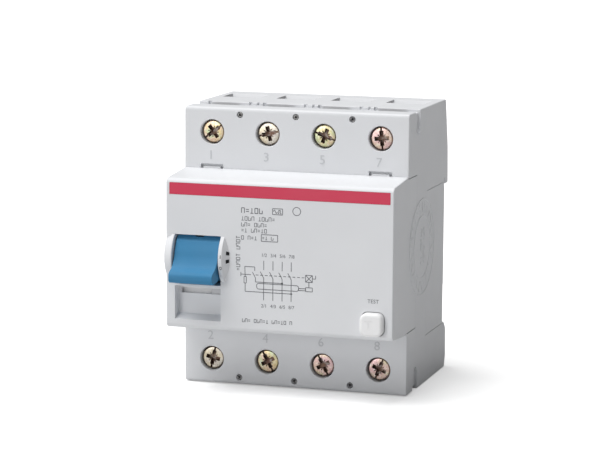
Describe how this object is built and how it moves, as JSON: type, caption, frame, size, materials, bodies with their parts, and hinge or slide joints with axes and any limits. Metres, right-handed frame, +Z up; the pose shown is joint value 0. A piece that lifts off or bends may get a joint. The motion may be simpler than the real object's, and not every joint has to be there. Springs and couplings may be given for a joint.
{
  "type": "residual current device",
  "caption": "Modular residual current device for a 35 mm rail: stepped pale grey housing, blue toggle, white test button, red band and lift terminals above and below.",
  "frame": {"origin": "middle of the face that rests on the front of the rail, on the rail centre-line", "axes": "+Z up along the device, +Y back through the rail, +X to the right seen from the front; the front faces -Y"},
  "size_m": [0.07, 0.0714, 0.085],
  "materials": {
    "cover": "satin moulded, pale grey",
    "housing": "satin moulded, pale grey",
    "clip_plastic": "moulded",
    "band": "printed red band",
    "toggle_plastic": "satin moulded blue",
    "white_plastic": "satin moulded",
    "black_plastic": "moulded",
    "steel": "plated",
    "yellow_zinc": "yellow passivated zinc",
    "copper": "bare copper",
    "core_iron": "wound strip core",
    "rivet_steel": "tubular rivet end",
    "brass": "spring brass",
    "resistor_body": "lacquered"
  },
  "bodies": {
    "housing": {"front_cover": "cover", "upper_end_wall": "housing", "lower_end_wall": "housing", "left_side_wall": "housing", "right_side_wall": "housing", "upper_terminal_frame": "housing", "lower_terminal_frame": "housing", "rail_base": "housing", "red_band": "band", "toggle_pin": "steel", "transformer_core": "core_iron", "secondary_winding": "copper", "relay_case": "black_plastic", "test_contact_blade": "brass", "test_resistor": "resistor_body", "test_button_spring": "steel", "line_bar_1": "copper", "line_bar_3": "copper", "line_bar_5": "copper", "line_bar_7": "copper", "load_bar_2": "copper", "load_bar_4": "copper", "load_bar_6": "copper", "load_bar_8": "copper", "upper_rivet_1": "rivet_steel", "upper_rivet_2": "rivet_steel", "upper_rivet_3": "rivet_steel", "lower_rivet_1": "rivet_steel", "lower_rivet_2": "rivet_steel", "lower_rivet_3": "rivet_steel"},
    "toggle": {"toggle_lever": "toggle_plastic"},
    "link": {"drive_link": "steel"},
    "shaft": {"contact_shaft": "black_plastic", "moving_contact_1": "copper", "moving_contact_2": "copper", "moving_contact_3": "copper", "moving_contact_4": "copper"},
    "flag": {"trip_flag": "white_plastic"},
    "button": {"test_button": "white_plastic"},
    "plunger": {"relay_plunger": "steel"},
    "trip": {"trip_lever": "white_plastic"},
    "clip": {"din_clip": "clip_plastic"},
    "screw_1": {"terminal_screw_1": "yellow_zinc"},
    "cage_1": {"terminal_cage_1": "steel"},
    "screw_2": {"terminal_screw_2": "yellow_zinc"},
    "cage_2": {"terminal_cage_2": "steel"},
    "screw_3": {"terminal_screw_3": "yellow_zinc"},
    "cage_3": {"terminal_cage_3": "steel"},
    "screw_4": {"terminal_screw_4": "yellow_zinc"},
    "cage_4": {"terminal_cage_4": "steel"},
    "screw_5": {"terminal_screw_5": "yellow_zinc"},
    "cage_5": {"terminal_cage_5": "steel"},
    "screw_6": {"terminal_screw_6": "yellow_zinc"},
    "cage_6": {"terminal_cage_6": "steel"},
    "screw_7": {"terminal_screw_7": "yellow_zinc"},
    "cage_7": {"terminal_cage_7": "steel"},
    "screw_8": {"terminal_screw_8": "yellow_zinc"},
    "cage_8": {"terminal_cage_8": "steel"}
  },
  "joints": [
    {"name": "toggle_turn", "type": "hinge", "parent": "housing", "child": "toggle", "pos_m": [-0.025, -0.054, -0.001], "axis": [-1, 0, 0], "range_deg": [0, 56]},
    {"name": "shaft_turn", "type": "hinge", "parent": "housing", "child": "shaft", "pos_m": [0, -0.0299, 0.002], "axis": [-1, 0, 0], "range_deg": [0, 20.01]},
    {"name": "link_turn", "type": "hinge", "parent": "toggle", "child": "link", "pos_m": [-0.025, -0.05635, 0.00342], "axis": [-1, 0, 0], "range_deg": [-56.1, 0]},
    {"name": "flag_slide", "type": "slide", "parent": "housing", "child": "flag", "axis": [1, 0, 0], "range_m": [0, 0.0025]},
    {"name": "button_press", "type": "slide", "parent": "housing", "child": "button", "axis": [0, 1, 0], "range_m": [0, 0.0019], "stiffness_N_per_m": 400, "springref_m": -0.0005, "deforming": ["test_button_spring"]},
    {"name": "plunger_slide", "type": "slide", "parent": "housing", "child": "plunger", "axis": [-1, 0, 0], "range_m": [0, 0.002], "stiffness_N_per_m": 300},
    {"name": "trip_lever_turn", "type": "hinge", "parent": "housing", "child": "trip", "pos_m": [-0.001, -0.042, -0.005], "axis": [0, 1, 0], "range_deg": [0, 17.51]},
    {"name": "clip_slide", "type": "slide", "parent": "housing", "child": "clip", "axis": [0, 0, -1], "range_m": [0, 0.005], "stiffness_N_per_m": 500},
    {"name": "screw_turn_1", "type": "hinge", "parent": "housing", "child": "screw_1", "pos_m": [-0.02625, -0.0423, 0.0347], "axis": [0, 1, 0], "range_deg": [0, 2882]},
    {"name": "cage_lift_1", "type": "slide", "parent": "housing", "child": "cage_1", "axis": [0, -1, 0], "range_m": [0, 0.0064]},
    {"name": "screw_turn_2", "type": "hinge", "parent": "housing", "child": "screw_2", "pos_m": [-0.02625, -0.0423, -0.0347], "axis": [0, 1, 0], "range_deg": [0, 2882]},
    {"name": "cage_lift_2", "type": "slide", "parent": "housing", "child": "cage_2", "axis": [0, -1, 0], "range_m": [0, 0.0064]},
    {"name": "screw_turn_3", "type": "hinge", "parent": "housing", "child": "screw_3", "pos_m": [-0.00875, -0.0423, 0.0347], "axis": [0, 1, 0], "range_deg": [0, 2882]},
    {"name": "cage_lift_3", "type": "slide", "parent": "housing", "child": "cage_3", "axis": [0, -1, 0], "range_m": [0, 0.0064]},
    {"name": "screw_turn_4", "type": "hinge", "parent": "housing", "child": "screw_4", "pos_m": [-0.00875, -0.0423, -0.0347], "axis": [0, 1, 0], "range_deg": [0, 2882]},
    {"name": "cage_lift_4", "type": "slide", "parent": "housing", "child": "cage_4", "axis": [0, -1, 0], "range_m": [0, 0.0064]},
    {"name": "screw_turn_5", "type": "hinge", "parent": "housing", "child": "screw_5", "pos_m": [0.00875, -0.0423, 0.0347], "axis": [0, 1, 0], "range_deg": [0, 2882]},
    {"name": "cage_lift_5", "type": "slide", "parent": "housing", "child": "cage_5", "axis": [0, -1, 0], "range_m": [0, 0.0064]},
    {"name": "screw_turn_6", "type": "hinge", "parent": "housing", "child": "screw_6", "pos_m": [0.00875, -0.0423, -0.0347], "axis": [0, 1, 0], "range_deg": [0, 2882]},
    {"name": "cage_lift_6", "type": "slide", "parent": "housing", "child": "cage_6", "axis": [0, -1, 0], "range_m": [0, 0.0064]},
    {"name": "screw_turn_7", "type": "hinge", "parent": "housing", "child": "screw_7", "pos_m": [0.02625, -0.0423, 0.0347], "axis": [0, 1, 0], "range_deg": [0, 2882]},
    {"name": "cage_lift_7", "type": "slide", "parent": "housing", "child": "cage_7", "axis": [0, -1, 0], "range_m": [0, 0.0064]},
    {"name": "screw_turn_8", "type": "hinge", "parent": "housing", "child": "screw_8", "pos_m": [0.02625, -0.0423, -0.0347], "axis": [0, 1, 0], "range_deg": [0, 2882]},
    {"name": "cage_lift_8", "type": "slide", "parent": "housing", "child": "cage_8", "axis": [0, -1, 0], "range_m": [0, 0.0064]}
  ],
  "couplings": [
    {"joint": "shaft_turn", "follows": "toggle_turn", "ratio": 0.35714},
    {"joint": "link_turn", "follows": "toggle_turn", "ratio": -1},
    {"joint": "flag_slide", "follows": "toggle_turn", "m_per_rad": 0.0024555},
    {"joint": "trip_lever_turn", "follows": "plunger_slide", "rad_per_m": 152.72},
    {"joint": "screw_turn_1", "follows": "cage_lift_1", "rad_per_m": 7854},
    {"joint": "screw_turn_2", "follows": "cage_lift_2", "rad_per_m": 7854},
    {"joint": "screw_turn_3", "follows": "cage_lift_3", "rad_per_m": 7854},
    {"joint": "screw_turn_4", "follows": "cage_lift_4", "rad_per_m": 7854},
    {"joint": "screw_turn_5", "follows": "cage_lift_5", "rad_per_m": 7854},
    {"joint": "screw_turn_6", "follows": "cage_lift_6", "rad_per_m": 7854},
    {"joint": "screw_turn_7", "follows": "cage_lift_7", "rad_per_m": 7854},
    {"joint": "screw_turn_8", "follows": "cage_lift_8", "rad_per_m": 7854}
  ]
}
